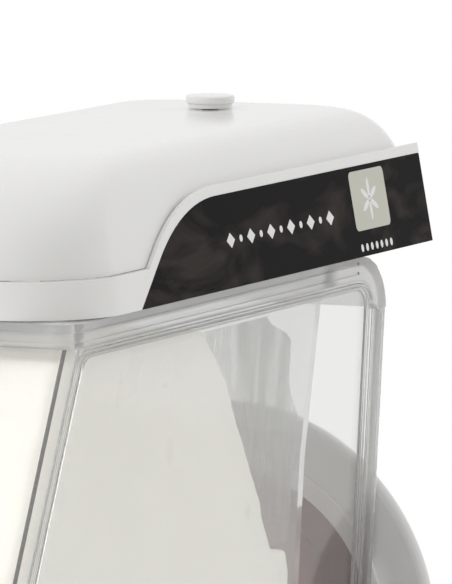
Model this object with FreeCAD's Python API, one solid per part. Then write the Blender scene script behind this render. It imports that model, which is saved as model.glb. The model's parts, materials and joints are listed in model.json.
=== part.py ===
"""Single-bowl frozen-drink dispenser, built as separate pieces. Millimetres, +Z up, front towards -Y.

The origin is on the surface that the machine stands on, under the middle of its overall box.
"""
import FreeCAD, Part
import math
import os

os.makedirs("parts", exist_ok=True)
V = FreeCAD.Vector
X_AXIS, Y_AXIS, Z_AXIS = V(1, 0, 0), V(0, 1, 0), V(0, 0, 1)

# ---- driving dimensions -------------------------------------------------------------------------
BODY_W = 240.0            # width over the side panels
BODY_FRONT_Y = -175.0     # outer face of the front cover
MACHINE_REAR_Y = 288.0    # outer face of the rear panel
SCREW_HEAD = 2.0          # screw heads and the inlet stand this far out of it
MACHINE_FRONT_Y = -290.0  # front edge of the drip tray
DECK_Z = 345.0            # top of the deck under the bowl
FOOT_H = 22.0             # feet, from the counter to the base pan
SHEET = 1.2               # sheet steel
COVER = 3.0               # moulded covers
GAP = 0.4                 # between fixed neighbours that do not touch
MOVE_GAP = 0.6            # between faces that move past each other
RUN = 0.05                # radial running clearance of shafts

AXIS_Z = 426.0            # evaporator and auger axis
BARREL_R = 52.0
BARREL_WALL = 2.0
AUGER_R = 64.0
SHAFT_R = 6.0

RIM_Z = 617.4             # top of the bowl's rim
RIM_H = 11.4
BOWL_FRONT_Y = -163.0     # rim, outside
BOWL_REAR_Y = 193.0
BOWL_HALF_W = 90.0        # rim, outside
RAKE_DEG = 22.0           # front wall, forward going down
DRAFT_DEG = 3.0           # side walls
RAKE_END_Z = 440.0        # the front wall stands upright below this
BOWL_FLOOR_Z = 350.0
JACKET_WALL = 3.0
TANK_WALL = 3.0
DOUBLE_WALL = 12.0        # rim outside to the tank's inside
TANK_REAR_Y = 132.0       # tank's back corner under the rim
TANK_LEAN_DEG = 8.0       # back wall, forward going down
TANK_LEAN_END_Z = 524.0   # the back wall stands upright below this
CORNER_RUN, CORNER_DROP = 33.0, 27.4   # rounded rear top corner of the rim

HOUSING_Y = 198.0         # front face of the rear housing
HOUSING_EDGE_R = 4.0
ARCH_R = 115.0            # rear housing at its front
ARCH_REAR_R = 75.0        # and at its back

LID_SKIRT_Z = 618.0       # bottom of the lid's skirt
LID_HALF_W = 93.0
LID_FRONT_Y = -164.5
LID_REAR_Y = 252.0        # dome and skirt
PLATE_REAR_Y = 244.0      # side plates run on past the dome
LID_H = 67.0
LID_TILT_DEG = 10.2       # the skirt's sides lean in going up
LID_CORNER_R = 48.0       # front corners
LID_REAR_R = 24.0         # rear corners
LID_WALL = 3.0
SKIRT_H = 17.5
PLATE_H = 44.0            # graphic plate, along its slope
PLATE_T = 1.0
HOLDER_T = 2.2
HOLDER_RIM = 5.0
KNOB_Y = 182.0

TAP_Y = -248.0            # spout axis
SPOUT_Z = 312.0
PISTON_R = 11.0
TRAY_Z = 62.0             # bottom of the drip tray
TRAY_H = 30.0
TRAY_HALF_W = 92.0
GEAR_MODULE = 1.5
WHEEL_TEETH = 48
PINION_TEETH = 16


# ---- helpers ------------------------------------------------------------------------------------
def box(x0, y0, z0, x1, y1, z1):
    return Part.makeBox(x1 - x0, y1 - y0, z1 - z0, V(x0, y0, z0))


def slab(half_w, y0, y1, z0, z1):
    return box(-half_w, y0, z0, half_w, y1, z1)


def cyl(r, h, x, y, z, axis):
    return Part.makeCylinder(r, h, V(x, y, z), axis)


def prism(points, direction):
    face = Part.Face(Part.makePolygon(points + [points[0]]))
    return face.extrude(direction)


def prism_x(yz, x0, x1):
    return prism([V(x0, y, z) for y, z in yz], V(x1 - x0, 0, 0))


def prism_y(xz, y0, y1):
    return prism([V(x, y0, z) for x, z in xz], V(0, y1 - y0, 0))


def round_box(half_w, y0, y1, z0, z1, r):
    """A box with rounded upright edges."""
    return Part.Face(round_rect(half_w, y0, y1, z0, r)).extrude(V(0, 0, z1 - z0))


def round_rect(half_w, y0, y1, z, r, r_rear=None):
    """Rectangle with rounded corners; the two at the back may have their own radius."""
    q = r if r_rear is None else r_rear
    x0, x1 = -half_w, half_w
    k, m = r * (1 - math.sqrt(0.5)), q * (1 - math.sqrt(0.5))
    edges = [
        Part.makeLine(V(x0 + r, y0, z), V(x1 - r, y0, z)),
        Part.Arc(V(x1 - r, y0, z), V(x1 - k, y0 + k, z), V(x1, y0 + r, z)).toShape(),
        Part.makeLine(V(x1, y0 + r, z), V(x1, y1 - q, z)),
        Part.Arc(V(x1, y1 - q, z), V(x1 - m, y1 - m, z), V(x1 - q, y1, z)).toShape(),
        Part.makeLine(V(x1 - q, y1, z), V(x0 + q, y1, z)),
        Part.Arc(V(x0 + q, y1, z), V(x0 + m, y1 - m, z), V(x0, y1 - q, z)).toShape(),
        Part.makeLine(V(x0, y1 - q, z), V(x0, y0 + r, z)),
        Part.Arc(V(x0, y0 + r, z), V(x0 + k, y0 + k, z), V(x0 + r, y0, z)).toShape(),
    ]
    return Part.Wire(edges)


def loft(wires, ruled=False):
    return Part.makeLoft(wires, True, ruled)


def ring(r_out, r_in, h, x, y, z, axis):
    return cyl(r_out, h, x, y, z, axis).cut(cyl(r_in, h, x, y, z, axis))


def cut_all(shape, tools):
    return shape.cut(tools) if tools else shape


def fillet(shape, r, chosen):
    edges = [e for e in shape.Edges if chosen(e)]
    return shape.makeFillet(r, edges) if edges else shape


def mirror_x(shape):
    return shape.mirror(V(0, 0, 0), X_AXIS)


def save(name, *shapes):
    solids = [s for shape in shapes for s in shape.Solids]
    whole = solids[0] if len(solids) == 1 else Part.makeCompound(solids)
    whole.exportStep("parts/%s.step" % name)
    print("%-22s solids %2d volume %10.0f valid %s" % (name, len(solids), whole.Volume, whole.isValid()))


def tan(deg):
    return math.tan(math.radians(deg))


HALF_W = BODY_W / 2
BASE_Z = FOOT_H
GEAR_Y = HOUSING_Y + 21.0
GEAR_W = 10.0


# ---- cabinet ------------------------------------------------------------------------------------
FOOT_X, FOOT_FRONT_Y, FOOT_REAR_Y = HALF_W - 26, BODY_FRONT_Y + 30, MACHINE_REAR_Y - 30
FOOT_SPOTS = [(x, y) for x in (-FOOT_X, FOOT_X) for y in (FOOT_FRONT_Y, FOOT_REAR_Y)]
SCREW_R = 2.0
FRONT_IN_Y = BODY_FRONT_Y + COVER          # back of the front cover
REAR_IN_Y = MACHINE_REAR_Y - SHEET
SIDE_IN_X = HALF_W - SHEET
PAN_TOP_Z = BASE_Z + 18.0
DECK_T = 3.0


def base_pan():
    y0, y1 = FRONT_IN_Y + GAP, REAR_IN_Y - GAP
    half = HALF_W - COVER - GAP
    pan = round_box(half, y0, y1, BASE_Z, PAN_TOP_Z, 14)
    pan = pan.cut(round_box(half - 2, y0 + 2, y1 - 2, PAN_FLOOR_Z, PAN_TOP_Z + 1, 12))
    for x, y in FOOT_SPOTS:
        pan = pan.cut(cyl(FOOT_STUD_R + GAP, 10, x, y, BASE_Z - 4, Z_AXIS))
    save("base_pan", pan)


FOOT_R = 17.0
FOOT_STUD_R = 4.0


def rubber_feet():
    feet = []
    for x, y in FOOT_SPOTS:
        foot = Part.makeCone(FOOT_R - 2.5, FOOT_R, FOOT_H, V(x, y, 0), Z_AXIS)
        stud = cyl(FOOT_STUD_R, 5, x, y, BASE_Z, Z_AXIS)
        feet.append(foot.fuse(stud))
    save("rubber_feet", *feet)


PANEL_TOP_Z = DECK_Z - DECK_T - GAP
BEZEL_HALF_W, BEZEL_Z0, BEZEL_Z1 = 62.0, 262.0, 304.0


def front_cover():
    """Moulded front with rounded upright edges; the control bezel sits in its window."""
    skin = round_box(HALF_W, BODY_FRONT_Y, BODY_FRONT_Y + 40, PAN_BOTTOM_Z, DECK_Z, 16)
    hollow = round_box(HALF_W - COVER, FRONT_IN_Y, BODY_FRONT_Y + 80, PAN_BOTTOM_Z - 1, DECK_Z - COVER, 13)
    skin = skin.cut(hollow).cut(slab(HALF_W + 1, FRONT_COVER_END_Y, BODY_FRONT_Y + 90, 0, DECK_Z + 1))
    skin = skin.cut(slab(BEZEL_HALF_W + GAP, BODY_FRONT_Y - 1, FRONT_IN_Y + 1, BEZEL_Z0 - GAP, BEZEL_Z1 + GAP))
    save("front_cover", skin)


PAN_BOTTOM_Z = BASE_Z + 2.0
FRONT_COVER_END_Y = BODY_FRONT_Y + 20
LOUVRE_H, LOUVRE_PITCH, LOUVRES = 3.6, 11.0, 14
SCREW_SPOTS = [(x, z) for x in (-HALF_W + 14, HALF_W - 14) for z in (PAN_TOP_Z + 14, PANEL_TOP_Z - 12)]


def side_panels():
    """Sheet-steel sides with a block of louvre slots beside the condenser."""
    y0, y1 = FRONT_COVER_END_Y + GAP, REAR_IN_Y - GAP
    for name, side in (("left_panel", -1), ("right_panel", 1)):
        x0, x1 = sorted((side * SIDE_IN_X, side * HALF_W))
        panel = box(x0, y0, PAN_BOTTOM_Z, x1, y1, PANEL_TOP_Z)
        slots = []
        for i in range(LOUVRES):
            z = 80 + i * LOUVRE_PITCH
            slots.append(box(x0 - 1, 16, z, x1 + 1, 146, z + LOUVRE_H))
        save(name, cut_all(panel, slots))


INLET_X, INLET_Z = -70.0, 70.0
SWITCH_X = -20.0


def rear_panel():
    panel = slab(HALF_W, REAR_IN_Y, MACHINE_REAR_Y, PAN_BOTTOM_Z, PANEL_TOP_Z)
    slots = []
    for i in range(LOUVRES):
        z = 120 + i * LOUVRE_PITCH
        slots.append(slab(80, REAR_IN_Y - 1, MACHINE_REAR_Y + 1, z, z + LOUVRE_H))
    slots.append(box(INLET_X - 14, REAR_IN_Y - 1, INLET_Z - 10, INLET_X + 14, MACHINE_REAR_Y + 1, INLET_Z + 10))
    slots.append(box(SWITCH_X - 11, REAR_IN_Y - 1, INLET_Z - 14, SWITCH_X + 11, MACHINE_REAR_Y + 1, INLET_Z + 14))
    for x, z in SCREW_SPOTS:
        slots.append(cyl(SCREW_R + 0.2, 10, x, REAR_IN_Y - 4, z, Y_AXIS))
    save("rear_panel", cut_all(panel, slots))


def top_deck():
    """Deck under the bowl with a raised lip, from the front cover back to the rear panel."""
    y0, y1 = FRONT_COVER_END_Y + GAP, REAR_IN_Y - GAP
    deck = slab(HALF_W, y0, y1, DECK_Z - DECK_T, DECK_Z)
    pipe_hole = slab(70, HOUSING_Y + COVER, MACHINE_REAR_Y - 20, DECK_Z - DECK_T - 1, DECK_Z + 1)
    save("top_deck", deck.cut(pipe_hole))


HOUSING_Z0 = DECK_Z + GAP
HOUSING_REAR_Y = MACHINE_REAR_Y - 5.0
COLLAR_R_OUT = 89.0
COLLAR_T = 4.2
SEAL_R_OUT = 80.0
SEAL_R_IN = BARREL_R + 3.0


def arch_wire(r, y, z0):
    """Half-round arch on two uprights."""
    left, right = V(-r, y, AXIS_Z), V(r, y, AXIS_Z)
    foot_l, foot_r = V(-r, y, z0), V(r, y, z0)
    edges = [Part.Arc(left, V(0, y, AXIS_Z + r), right).toShape(), Part.makeLine(right, foot_r)]
    edges += [Part.makeLine(foot_r, foot_l), Part.makeLine(foot_l, left)]
    return Part.Wire(edges)


def arch_radius(y):
    """The shell narrows from its front to its back."""
    return ARCH_R - (y - HOUSING_Y) * (ARCH_R - ARCH_REAR_R) / (HOUSING_REAR_Y - HOUSING_Y)


def arch_solid(inset, y0, y1, z0):
    return loft([arch_wire(arch_radius(y) - inset, y, z0) for y in (y0, y1)], True)


def rear_housing():
    """Arched shell behind the bowl, open at the back, with a bore for the evaporator's root."""
    outer = arch_solid(0, HOUSING_Y, HOUSING_REAR_Y, HOUSING_Z0)
    outer = fillet(outer, HOUSING_EDGE_R, lambda e: on_front_edge(e, HOUSING_Y))
    inner = arch_solid(COVER, HOUSING_Y + COVER, HOUSING_REAR_Y + 1, HOUSING_Z0 - 20)
    bore = cyl(HUB_R + GAP, 20, 0, HOUSING_Y - 5, AXIS_Z, Y_AXIS)
    save("rear_housing", outer.cut(inner).cut(bore))


def on_front_edge(edge, y):
    middle = edge.valueAt((edge.FirstParameter + edge.LastParameter) / 2)
    flat = all(abs(v.Point.y - y) < 0.01 for v in edge.Vertexes) and abs(middle.y - y) < 0.01
    return flat and middle.z > HOUSING_Z0 + 1


def housing_cover():
    """Removable back plate of the rear housing."""
    plate = arch_solid(0, HOUSING_REAR_Y + GAP, HOUSING_REAR_Y + GAP + 2, HOUSING_Z0)
    slots = []
    for i in range(7):
        z = AXIS_Z + i * 10 - 20
        slots.append(slab(40, HOUSING_REAR_Y, HOUSING_REAR_Y + 4, z, z + LOUVRE_H))
    save("housing_cover", cut_all(plate, slots))


def panel_screws():
    """Cross-recess screws through the rear panel into the base pan flange and the deck edge."""
    screws = []
    for x, z in SCREW_SPOTS:
        head = cyl(3.6, SCREW_HEAD, x, MACHINE_REAR_Y, z, Y_AXIS)
        shank = cyl(SCREW_R, 8, x, MACHINE_REAR_Y - 8, z, Y_AXIS)
        slot = box(x - 3, MACHINE_REAR_Y + 1, z - 0.5, x + 3, MACHINE_REAR_Y + 3, z + 0.5)
        screws.append(head.fuse(shank).cut(slot))
    save("panel_screws", *screws)


# ---- evaporator, drive and auger ----------------------------------------------------------------
BARREL_FRONT_Y = -170.0
HUB_R = 15.0
BUSH_R = SHAFT_R + 4.0


def evaporator_barrel():
    """Hollow steel drum with a closed front and a flange against the housing."""
    length = HOUSING_Y - BARREL_FRONT_Y
    drum = cyl(BARREL_R, length, 0, BARREL_FRONT_Y, AXIS_Z, Y_AXIS)
    hub = cyl(HUB_R, 24, 0, HOUSING_Y - 4, AXIS_Z, Y_AXIS)
    inside = cyl(BARREL_R - BARREL_WALL, length - 2 * BARREL_WALL, 0, BARREL_FRONT_Y + BARREL_WALL, AXIS_Z, Y_AXIS)
    tube = cyl(BUSH_R + 3, length, 0, BARREL_FRONT_Y, AXIS_Z, Y_AXIS)
    bore = cyl(BUSH_R, length + 60, 0, BARREL_FRONT_Y - 1, AXIS_Z, Y_AXIS)
    save("evaporator_barrel", drum.cut(inside).fuse(tube).fuse(hub).cut(bore).removeSplitter())


def evaporator_collar():
    """Moulded ring on the housing that the bowl's back stands against."""
    collar = ring(COLLAR_R_OUT, SEAL_R_OUT + GAP, COLLAR_T, 0, HOUSING_Y - COLLAR_T, AXIS_Z, Y_AXIS)
    save("evaporator_collar", collar.common(slab(COLLAR_R_OUT, 0, HOUSING_Y, HOUSING_Z0, RIM_Z)))


def bowl_seal():
    """Soft sleeve round the evaporator's root, with a flat gasket against the housing."""
    root = ring(SEAL_R_OUT, TANK_BORE_R, COLLAR_T, 0, HOUSING_Y - COLLAR_T, AXIS_Z, Y_AXIS)
    neck = ring(TANK_BORE_R - MOVE_GAP, SEAL_R_IN, NECK_Y1 - NECK_Y0, 0, NECK_Y0, AXIS_Z, Y_AXIS)
    save("bowl_seal", root, neck)


TANK_BORE_R = AUGER_R + 2.0          # the bowl slides off over the auger
NECK_Y0, NECK_Y1 = 97.0, HOUSING_Y - 1.0


def front_bushes():
    bushes = []
    for y in (BARREL_FRONT_Y, HOUSING_Y - 10):
        bushes.append(ring(BUSH_R, SHAFT_R + RUN, 18, 0, y, AXIS_Z, Y_AXIS))
    save("shaft_bushes", *bushes)


SHAFT_FRONT_Y = BARREL_FRONT_Y - 22.0
SHAFT_REAR_Y = GEAR_Y + GEAR_W + 6
NOSE_R = 20.0
AUGER_PITCH = 62.0
AUGER_W = 9.0
AUGER_T = 5.0
AUGER_CLEAR = 1.5          # auger to the barrel
AUGER_Y0 = BARREL_FRONT_Y - 8.0
AUGER_TURNS = 4.3


def drive_shaft():
    save("drive_shaft", cyl(SHAFT_R, SHAFT_REAR_Y - SHAFT_FRONT_Y, 0, SHAFT_FRONT_Y, AXIS_Z, Y_AXIS))


def auger():
    """Open spiral round the barrel, carried by two arms from a hub in front of it."""
    r_mid = (BARREL_R + AUGER_CLEAR + AUGER_R) / 2
    half_h = (AUGER_R - BARREL_R - AUGER_CLEAR) / 2
    helix = Part.makeHelix(AUGER_PITCH, AUGER_PITCH * AUGER_TURNS, r_mid)
    corners = [(-half_h, -AUGER_T / 2), (half_h, -AUGER_T / 2), (half_h, AUGER_T / 2), (-half_h, AUGER_T / 2)]
    points = [V(r_mid + a, 0, b) for a, b in corners]
    profile = Part.makePolygon(points + [points[0]])
    spiral = Part.Wire(helix.Edges).makePipeShell([profile], True, True)
    spiral.rotate(V(0, 0, 0), X_AXIS, -90)
    spiral.translate(V(0, AUGER_Y0, AXIS_Z))
    hub = ring(HUB_R, SHAFT_R + RUN / 5, AUGER_T, 0, AUGER_Y0 - AUGER_T / 2, AXIS_Z, Y_AXIS)
    arms = box(-r_mid, AUGER_Y0 - AUGER_T / 2, AXIS_Z - 5, r_mid + half_h, AUGER_Y0 + AUGER_T / 2, AXIS_Z + 5)
    hub = hub.fuse(arms).cut(cyl(SHAFT_R + RUN / 5, 20, 0, AUGER_Y0 - 10, AXIS_Z, Y_AXIS))
    save("auger", hub.fuse(spiral))


def auger_nose():
    """Domed nut on the front end of the shaft."""
    y0 = SHAFT_FRONT_Y - 6
    length = AUGER_Y0 - AUGER_T / 2 - GAP - y0
    nose = cyl(NOSE_R, length, 0, y0, AXIS_Z, Y_AXIS)
    nose = fillet(nose, 7, lambda e: abs(e.BoundBox.YMax - y0) < 0.01)
    save("auger_nose", nose.cut(cyl(SHAFT_R + RUN / 5, length, 0, SHAFT_FRONT_Y, AXIS_Z, Y_AXIS)))


def gear(teeth, bore, x, z):
    """Spur gear with straight-flanked teeth that leave backlash at the pitch circle."""
    pitch_r = GEAR_MODULE * teeth / 2
    root_r, tip_r = pitch_r - 1.25 * GEAR_MODULE, pitch_r + 0.85 * GEAR_MODULE
    root_half, tip_half = 0.66 * GEAR_MODULE, 0.26 * GEAR_MODULE
    wheel = cyl(root_r, GEAR_W, 0, 0, 0, Y_AXIS)
    blades = []
    for i in range(teeth):
        outline = [(root_r - 1, -root_half), (tip_r, -tip_half), (tip_r, tip_half), (root_r - 1, root_half)]
        blade = prism_y([(a, b) for a, b in outline], 0, GEAR_W)
        blade.rotate(V(0, 0, 0), Y_AXIS, 360.0 * i / teeth)
        blades.append(blade)
    wheel = wheel.fuse(blades).cut(cyl(bore, GEAR_W + 2, 0, -1, 0, Y_AXIS))
    wheel.translate(V(x, GEAR_Y, z))
    return wheel


GEAR_DIST = GEAR_MODULE * (WHEEL_TEETH + PINION_TEETH) / 2
PINION_Z = AXIS_Z - GEAR_DIST
MOTOR_R = 30.0
MOTOR_Y0 = GEAR_Y + GEAR_W + 12


def gears():
    save("output_gear", gear(WHEEL_TEETH, SHAFT_R + RUN / 5, 0, AXIS_Z))
    pinion = gear(PINION_TEETH, PINION_SHAFT_R, 0, 0)
    pinion.rotate(V(0, 0, 0), Y_AXIS, 180.0 / PINION_TEETH)
    pinion.translate(V(0, 0, PINION_Z))
    save("motor_pinion", pinion)
    save("motor_shaft", cyl(PINION_SHAFT_R, MOTOR_Y0 + 12 - GEAR_Y, 0, GEAR_Y, PINION_Z, Y_AXIS))


PINION_SHAFT_R = 4.0
CASE_WALL = 2.5


def gearbox():
    """Open-fronted case: a back plate that carries the motor, and a rim round the two gears."""
    wheel_r = GEAR_MODULE * WHEEL_TEETH / 2 + 4
    y0, y1 = HOUSING_Y + COVER + 6, GEAR_Y + GEAR_W + 4
    inner = cyl(wheel_r, y1 - y0, 0, y0, AXIS_Z, Y_AXIS).fuse(slab(20, y0, y1, PINION_Z - 18, AXIS_Z))
    r = wheel_r + CASE_WALL
    outer = cyl(r, y1 - y0 + CASE_WALL, 0, y0, AXIS_Z, Y_AXIS)
    outer = outer.fuse(slab(20 + CASE_WALL, y0, y1 + CASE_WALL, PINION_Z - 18 - CASE_WALL, AXIS_Z))
    case = outer.cut(inner).cut(cyl(BUSH_R, 60, 0, y0, AXIS_Z, Y_AXIS))
    case = case.cut(cyl(PINION_SHAFT_R + 2, 60, 0, y0, PINION_Z, Y_AXIS))
    save("gearbox_case", case.removeSplitter())


def gear_motor():
    body = cyl(MOTOR_R, HOUSING_REAR_Y - 4 - MOTOR_Y0, 0, MOTOR_Y0, PINION_Z, Y_AXIS)
    neck = cyl(12, 6, 0, MOTOR_Y0 - 5, PINION_Z, Y_AXIS)
    motor = body.fuse(neck).cut(cyl(PINION_SHAFT_R + RUN, 30, 0, MOTOR_Y0 - 10, PINION_Z, Y_AXIS))
    save("gear_motor", motor)


# ---- refrigeration ------------------------------------------------------------------------------
COMPRESSOR_X, COMPRESSOR_Y, COMPRESSOR_R = 34.0, 200.0, 56.0
COMPRESSOR_Z0, COMPRESSOR_Z1 = BASE_Z + 20, BASE_Z + 168
PAN_FLOOR_Z = BASE_Z + 2.0
CONDENSER_X0, CONDENSER_X1 = -SIDE_IN_X + 6, -SIDE_IN_X + 44
COND_Y0, COND_Y1, COND_Z0, COND_Z1 = 10.0, 132.0, 62.0, 232.0
FAN_Y, FAN_Z, FAN_R = (COND_Y0 + COND_Y1) / 2, (COND_Z0 + COND_Z1) / 2, 52.0
SHROUD_X = CONDENSER_X1 + 4
FAN_X = SHROUD_X + 4
FAN_MOTOR_X = FAN_X + 22


def compressor():
    height = COMPRESSOR_Z1 - COMPRESSOR_Z0
    can = cyl(COMPRESSOR_R, height, COMPRESSOR_X, COMPRESSOR_Y, COMPRESSOR_Z0, Z_AXIS)
    can = fillet(can, 24, lambda e: e.Closed and abs(e.BoundBox.ZLength) < 0.01)
    seam = ring(COMPRESSOR_R + 2, COMPRESSOR_R - 4, 4, COMPRESSOR_X, COMPRESSOR_Y, COMPRESSOR_Z0 + 80, Z_AXIS)
    feet = box(-50, -50, COMPRESSOR_Z0 - 3, 50, 50, COMPRESSOR_Z0 + 4)
    feet.translate(V(COMPRESSOR_X, COMPRESSOR_Y, 0))
    body = can.fuse(seam).fuse(feet).removeSplitter()
    for x, y in compressor_corners():
        body = body.cut(cyl(3.5, 20, x, y, COMPRESSOR_Z0 - 8, Z_AXIS))
    save("compressor", body)


def compressor_corners():
    return [(COMPRESSOR_X + a, COMPRESSOR_Y + b) for a in (-44, 44) for b in (-44, 44)]


def compressor_grommets():
    rubber = []
    for x, y in compressor_corners():
        rubber.append(cyl(9, COMPRESSOR_Z0 - 3 - PAN_FLOOR_Z, x, y, PAN_FLOOR_Z, Z_AXIS))
    save("compressor_grommets", *rubber)


def condenser():
    """Finned block: fins on U-shaped tubes between two end plates."""
    solid = box(CONDENSER_X0, COND_Y0, COND_Z0, CONDENSER_X1, COND_Y0 + 2, COND_Z1)
    parts = [box(CONDENSER_X0, COND_Y1 - 2, COND_Z0, CONDENSER_X1, COND_Y1, COND_Z1)]
    y = COND_Y0 + 6
    while y < COND_Y1 - 3:
        parts.append(box(CONDENSER_X0 + 1, y, COND_Z0 + 2, CONDENSER_X1 - 1, y + 0.8, COND_Z1 - 2))
        y += 4.0
    for row in range(7):
        z = COND_Z0 + 14 + row * 23.5
        for x in (CONDENSER_X0 + 11, CONDENSER_X1 - 11):
            parts.append(cyl(3.5, COND_Y1 - COND_Y0 + 10, x, COND_Y0 - 5, z, Y_AXIS))
    legs = box(CONDENSER_X0, COND_Y0, PAN_FLOOR_Z, CONDENSER_X0 + 2, COND_Y1, COND_Z0 + 1)
    save("condenser", solid.fuse(parts + [legs]))


def fan():
    """Shroud plate with a round mouth, a motor on three arms behind it, and a five-bladed rotor."""
    plate = box(SHROUD_X, COND_Y0, COND_Z0, SHROUD_X + 2, COND_Y1, COND_Z1)
    plate = plate.cut(cyl(FAN_R + 3, 8, SHROUD_X - 3, FAN_Y, FAN_Z, X_AXIS))
    lip = ring(FAN_R + 5, FAN_R + 3, 12, SHROUD_X, FAN_Y, FAN_Z, X_AXIS)
    stand = box(SHROUD_X, COND_Y0, PAN_FLOOR_Z, SHROUD_X + 2, COND_Y1, COND_Z0 + 2)
    save("fan_shroud", plate.fuse(lip).fuse(stand).removeSplitter())
    motor = cyl(18, 34, FAN_MOTOR_X, FAN_Y, FAN_Z, X_AXIS)
    bracket = box(FAN_MOTOR_X + 12, FAN_Y - 8, PAN_FLOOR_Z, FAN_MOTOR_X + 15, FAN_Y + 8, FAN_Z)
    bore = cyl(3 + RUN, 20, FAN_MOTOR_X - 1, FAN_Y, FAN_Z, X_AXIS)
    save("fan_motor", motor.fuse(bracket).cut(bore).removeSplitter())
    hub = cyl(14, 14, FAN_X, FAN_Y, FAN_Z, X_AXIS).fuse(cyl(3, 26, FAN_X + 6, FAN_Y, FAN_Z, X_AXIS))
    blades = []
    for i in range(5):
        blade = box(-1, 12, -16, 1, FAN_R - 2, 16)
        blade.rotate(V(0, 0, 0), Y_AXIS, 62)
        blade = blade.common(cyl(FAN_R, 20, -7, 0, 0, X_AXIS))
        blade.translate(V(FAN_X + 7, 0, 0))
        blade.rotate(V(0, 0, 0), X_AXIS, 72 * i)
        blade.translate(V(0, FAN_Y, FAN_Z))
        blades.append(blade)
    save("fan_rotor", hub.fuse(blades))


PIPE_R = 2.5


def pipe(points):
    shape = None
    for a, b in zip(points, points[1:]):
        run = Part.makeCylinder(PIPE_R, (b - a).Length, a, b - a)
        shape = run if shape is None else shape.fuse(run)
    for corner in points[1:-1]:
        shape = shape.fuse(Part.makeSphere(PIPE_R, corner))
    return shape


def refrigerant_pipes():
    top = COMPRESSOR_Z1 + 4
    gap_y = HOUSING_Y + COVER + 3
    riser_x = 62.0
    suction = [V(COMPRESSOR_X + 20, COMPRESSOR_Y, top - 4), V(COMPRESSOR_X + 20, COMPRESSOR_Y, top + 20)]
    suction += [V(riser_x, gap_y, top + 36), V(riser_x, gap_y, AXIS_Z - 60), V(HUB_R + 3, gap_y, AXIS_Z - 2)]
    liquid_x = -riser_x
    liquid = [V(CONDENSER_X1 - 11, COND_Y1 + 6, COND_Z1 - 30), V(CONDENSER_X1 - 11, gap_y - 20, COND_Z1 - 30)]
    liquid += [V(liquid_x, gap_y, COND_Z1 - 4), V(liquid_x, gap_y, AXIS_Z - 60), V(-HUB_R - 3, gap_y, AXIS_Z - 2)]
    save("refrigerant_pipes", pipe(suction), pipe(liquid))


def filter_drier():
    x, y = CONDENSER_X1 + 10, COND_Y1 + 42
    body = cyl(9, 70, x, y, COND_Z0 + 20, Z_AXIS)
    body = fillet(body, 6, lambda e: e.Closed and abs(e.BoundBox.ZLength) < 0.01)
    save("filter_drier", body.fuse(cyl(3, 90, x, y, COND_Z0 + 10, Z_AXIS)).removeSplitter())


# ---- controls -----------------------------------------------------------------------------------
BEZEL_PROUD = 1.6
BUTTON_R = 6.5
BUTTON_Z = (BEZEL_Z0 + BEZEL_Z1) / 2
BUTTON_XS = (8.0, 29.0, 50.0)
BUTTON_NAMES = ("button_power", "button_mode", "button_light")
BUTTON_TRAVEL = 1.5
DISPLAY_X0, DISPLAY_X1 = -54.0, -10.0


def control_bezel():
    y0 = BODY_FRONT_Y - BEZEL_PROUD
    plate = slab(BEZEL_HALF_W, y0, FRONT_IN_Y, BEZEL_Z0, BEZEL_Z1)
    plate = fillet(plate, 1.2, lambda e: e.BoundBox.YLength < 0.01 and e.BoundBox.YMax < y0 + 0.01)
    plate = plate.cut(box(DISPLAY_X0, y0 - 1, BEZEL_Z0 + 9, DISPLAY_X1, FRONT_IN_Y + 1, BEZEL_Z1 - 9))
    for x in BUTTON_XS:
        plate = plate.cut(cyl(BUTTON_R + MOVE_GAP, 12, x, y0 - 3, BUTTON_Z, Y_AXIS))
    save("control_bezel", plate)
    lens = box(DISPLAY_X0 + GAP, y0 + 0.6, BEZEL_Z0 + 9 + GAP, DISPLAY_X1 - GAP, y0 + 2.6, BEZEL_Z1 - 9 - GAP)
    save("display_window", lens)


def buttons():
    y0 = BODY_FRONT_Y - BEZEL_PROUD - 2.2
    for name, x in zip(BUTTON_NAMES, BUTTON_XS):
        cap = cyl(BUTTON_R, 5, x, y0, BUTTON_Z, Y_AXIS)
        cap = fillet(cap, 0.8, lambda e: e.Closed and abs(e.BoundBox.YMax - y0) < 0.01)
        collar = cyl(BUTTON_R + 2, 1.5, x, FRONT_IN_Y + GAP, BUTTON_Z, Y_AXIS)
        stem = cyl(BUTTON_R - 2, FRONT_IN_Y + GAP + 1.5 - y0 - 2, x, y0 + 2, BUTTON_Z, Y_AXIS)
        save(name, cap.fuse(stem).fuse(collar).removeSplitter())


BOARD_Y = FRONT_IN_Y + 6.0


def control_board():
    board = slab(58, BOARD_Y, BOARD_Y + 1.6, 200, 312)
    parts = [cyl(7, 22, -34, BOARD_Y + 1.6, 220, Y_AXIS), cyl(5, 14, -14, BOARD_Y + 1.6, 220, Y_AXIS)]
    parts.append(box(10, BOARD_Y + 1.6, 212, 30, BOARD_Y + 18, 236))
    parts.append(box(36, BOARD_Y + 1.6, 212, 52, BOARD_Y + 14, 228))
    parts.append(box(-12, BOARD_Y + 1.6, 250, 12, BOARD_Y + 4, 270))
    save("control_board", board.fuse(parts))


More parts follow.
